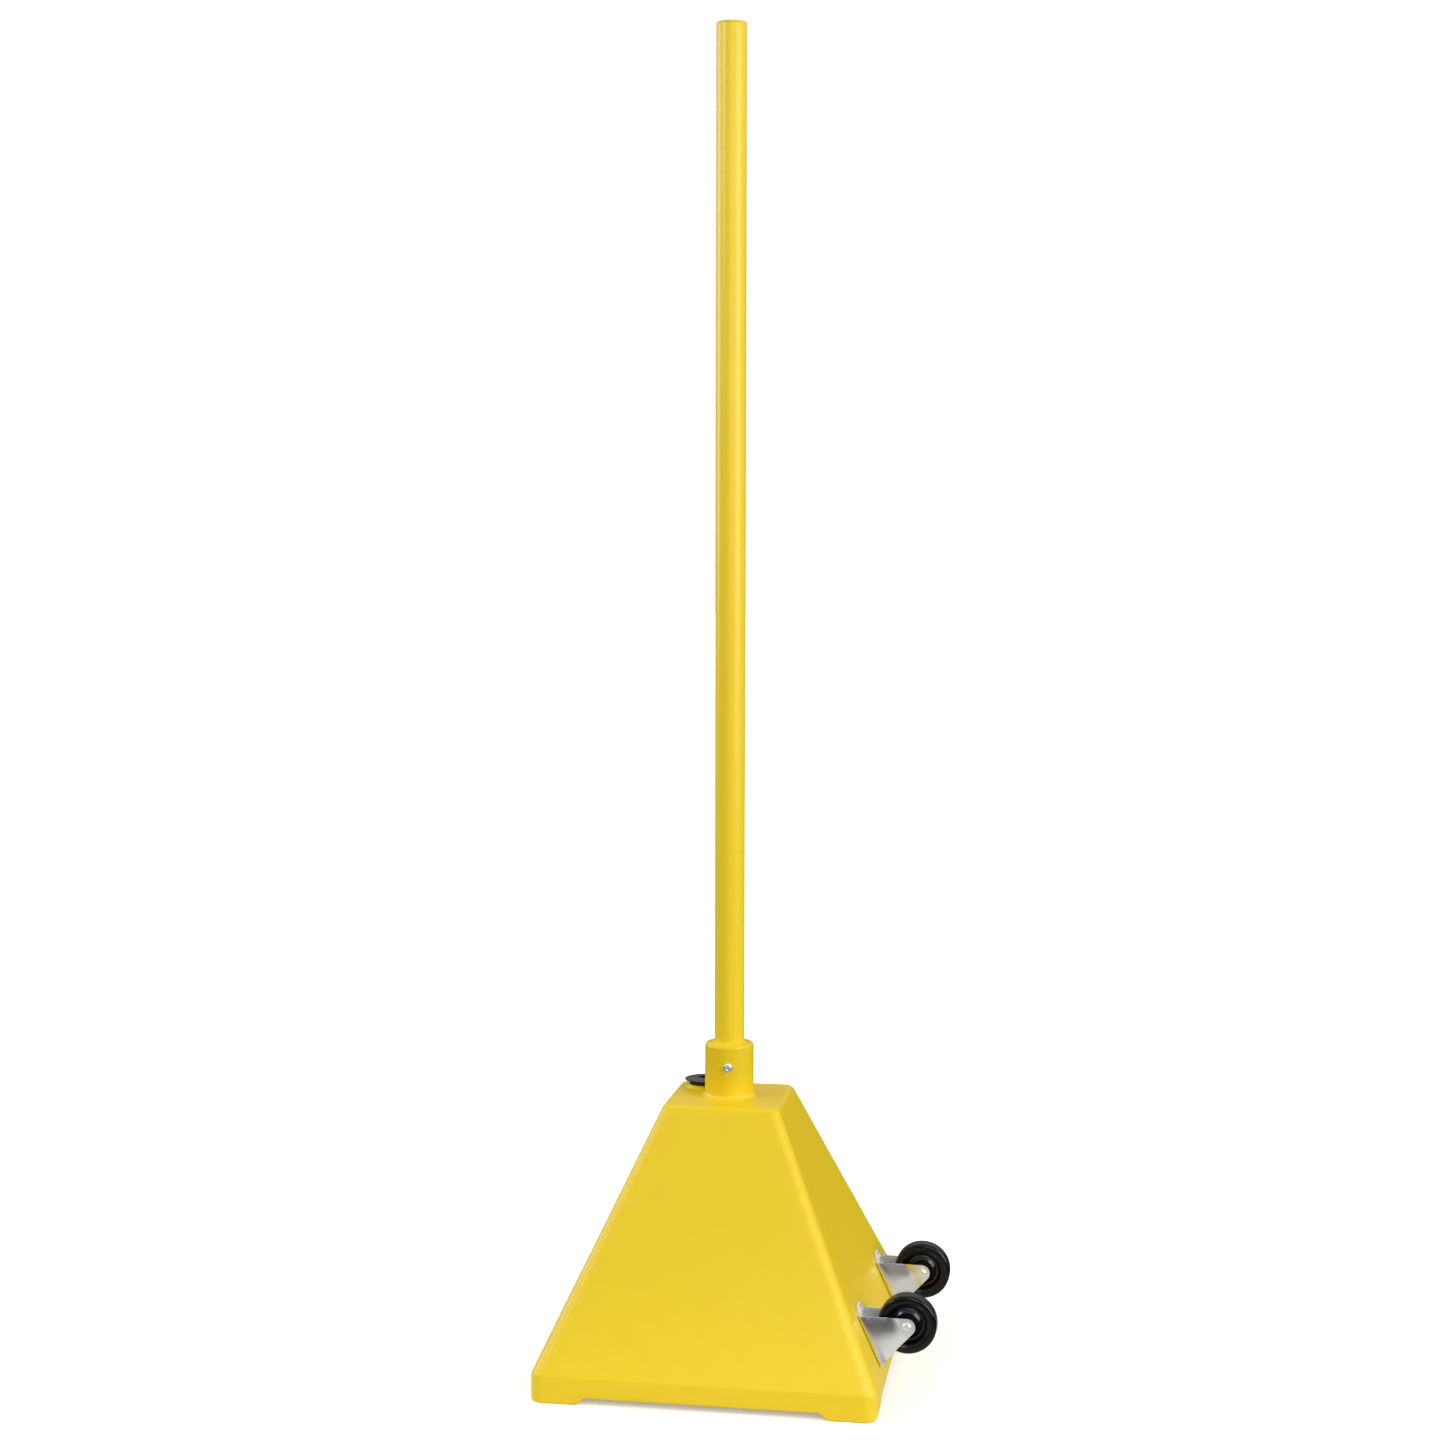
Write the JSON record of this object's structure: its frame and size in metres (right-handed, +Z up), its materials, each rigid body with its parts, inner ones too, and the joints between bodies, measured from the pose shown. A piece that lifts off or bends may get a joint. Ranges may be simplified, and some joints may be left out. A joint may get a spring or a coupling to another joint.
{
  "type": "portable sign base with post",
  "caption": "Yellow hollow pyramid base on corner feet, filled with ballast through a screw cap, with a tall round post locked in its collar and rigid casters for tilting and rolling.",
  "frame": {"origin": "on the floor, at the middle of the square base, on the post's axis; the face of the pad under the post socket", "axes": "+Z up along the post, -Y towards the front face with the post's lock screw, +X towards the sloped face that carries the casters"},
  "size_m": [0.5449, 0.473, 1.878],
  "materials": {
    "tank_plastic": "satin, moulded polyethylene",
    "post_paint": "satin powder coat",
    "post_cap_plastic": "satin",
    "zinc_sheet": "bright zinc plated",
    "zinc_screw": "bright zinc plated",
    "black_plastic": "gloss",
    "seal_rubber": "matte",
    "tyre_rubber": "polished",
    "wheel_plastic": "gloss"
  },
  "bodies": {
    "base": {"base_shell": "tank_plastic", "post_tube": "post_paint", "post_top_cap": "post_cap_plastic", "post_screw": "zinc_screw", "fill_neck": "black_plastic", "front_fork": "zinc_sheet", "front_axle_sleeve": "zinc_screw", "front_axle_rivet": "zinc_screw", "front_fork_bolts": "zinc_screw", "front_fork_washers": "zinc_screw", "front_threaded_inserts": "zinc_screw", "rear_fork": "zinc_sheet", "rear_axle_sleeve": "zinc_screw", "rear_axle_rivet": "zinc_screw", "rear_fork_bolts": "zinc_screw", "rear_fork_washers": "zinc_screw", "rear_threaded_inserts": "zinc_screw"},
    "cap_seal": {"cap_gasket": "seal_rubber"},
    "filler_cap": {"fill_cap": "black_plastic"},
    "front_wheel": {"front_tyre": "tyre_rubber", "front_wheel_core": "wheel_plastic"},
    "rear_wheel": {"rear_tyre": "tyre_rubber", "rear_wheel_core": "wheel_plastic"}
  },
  "joints": [
    {"name": "front_wheel_spin", "type": "hinge", "parent": "base", "child": "front_wheel", "pos_m": [0.26785, -0.1214, 0.10181], "axis": [0, 1, 0], "continuous": true},
    {"name": "rear_wheel_spin", "type": "hinge", "parent": "base", "child": "rear_wheel", "pos_m": [0.26785, 0.1214, 0.10181], "axis": [0, 1, 0], "continuous": true},
    {"name": "cap_lift", "type": "slide", "parent": "base", "child": "cap_seal", "axis": [0, 0, 1], "range_m": [0, 0.014]},
    {"name": "cap_turn", "type": "hinge", "parent": "cap_seal", "child": "filler_cap", "pos_m": [-0.045, 0.046, 0.388], "axis": [0, 0, 1], "range_deg": [0, 1260.1]}
  ],
  "couplings": [
    {"joint": "cap_turn", "follows": "cap_lift", "rad_per_m": 1570.8}
  ]
}
